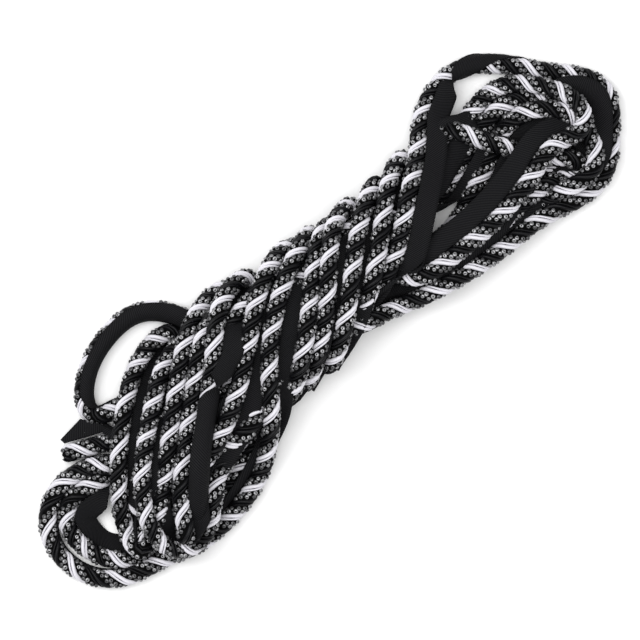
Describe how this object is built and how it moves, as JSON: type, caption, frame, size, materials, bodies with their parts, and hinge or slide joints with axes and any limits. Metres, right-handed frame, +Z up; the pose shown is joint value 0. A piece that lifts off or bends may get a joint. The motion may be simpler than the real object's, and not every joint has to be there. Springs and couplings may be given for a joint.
{
  "type": "braided cord trim",
  "caption": "Length of twisted black, white and metallic lip cord with a flat black sewing tape, wound into a flat oblong hank that lies on its side.",
  "frame": {"origin": "middle of the hank's outline, on the surface it rests on", "axes": "+X along the hank towards the end with the large loops, +Y across it, +Z up"},
  "size_m": [0.3092, 0.1019, 0.0317],
  "materials": {
    "wound_cord": "twisted satin and metallic yarn with a matte twill tape",
    "cord_end": "twisted satin and metallic yarn",
    "tape_end": "matte fine twill"
  },
  "bodies": {
    "root": {"hank": "wound_cord", "loose_end_cord": "cord_end", "loose_end_tape": "tape_end"}
  },
  "joints": []
}
